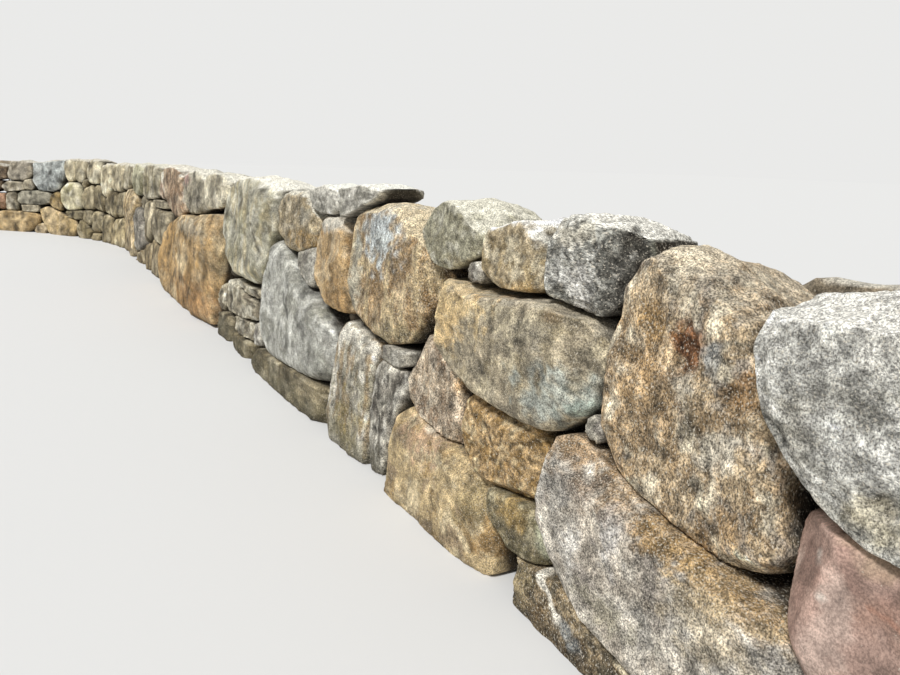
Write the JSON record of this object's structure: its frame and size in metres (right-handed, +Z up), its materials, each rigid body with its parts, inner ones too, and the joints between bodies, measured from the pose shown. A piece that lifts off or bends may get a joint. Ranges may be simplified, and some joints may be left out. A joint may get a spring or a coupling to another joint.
{
  "type": "dry stone wall",
  "caption": "Dry stone wall of large fitted field boulders, straight for most of its run and bending at the far end, with a coursed rubble back.",
  "frame": {"origin": "the datum: the face line at station 0, on the underside of the foundation stone", "axes": "+X along the straight run towards the near end, +Y into the wall from its face, +Z up"},
  "size_m": [15.2898, 2.5952, 1.2202],
  "materials": {
    "brown_gneiss": "weathered brown gneiss with a rough broken face",
    "grey_granite": "grey speckled granite, rough and lichen spotted",
    "white_rock": "white crystalline rock with grey weathering",
    "mauve_rock": "smooth mauve quartzite",
    "speckled_granite": "pinkish grey granite with white and black grains",
    "striped_gneiss": "grey gneiss with pale and dark bands",
    "ochre_rock": "ochre weathered rock with grey and rusty patches",
    "green_grey_rock": "green grey lichen covered rock",
    "pale_rock": "pale grey and beige rock, smooth with fine cracks",
    "backing_rubble": "plain field rubble, dull brown grey"
  },
  "bodies": {
    "root": {"foundation_stone": "brown_gneiss", "great_boulder": "brown_gneiss", "big_oval_boulder": "brown_gneiss", "rose_boulder": "brown_gneiss", "brown_upright": "brown_gneiss", "tan_boulder": "brown_gneiss", "near_footing": "grey_granite", "grey_base_boulder": "grey_granite", "ledge_stones": "grey_granite", "pin_stones": "grey_granite", "far_stones": "grey_granite", "far_coping": "grey_granite", "bend_stones": "grey_granite", "white_boulder": "white_rock", "mauve_boulder": "mauve_rock", "speckled_slab": "speckled_granite", "pale_base_boulder": "speckled_granite", "pink_block": "speckled_granite", "pink_coping": "speckled_granite", "striped_block": "striped_gneiss", "purple_boulder": "striped_gneiss", "buff_block": "ochre_rock", "long_ochre_boulder": "ochre_rock", "pitted_boulder": "ochre_rock", "golden_base_boulder": "ochre_rock", "buff_oval_boulder": "ochre_rock", "orange_boulder": "ochre_rock", "far_footings": "ochre_rock", "middle_footings": "ochre_rock", "round_cope": "green_grey_rock", "green_lobe": "green_grey_rock", "mossy_footings": "green_grey_rock", "bend_footings": "green_grey_rock", "pear_boulder": "pale_rock", "cracked_boulder": "pale_rock", "top_slabs": "pale_rock", "middle_boulders": "pale_rock", "middle_coping": "pale_rock", "bend_coping": "pale_rock", "round_pale_boulder": "pale_rock", "backing_1": "backing_rubble", "backing_2": "backing_rubble", "backing_3": "backing_rubble", "backing_4": "backing_rubble", "backing_5": "backing_rubble"}
  },
  "joints": []
}
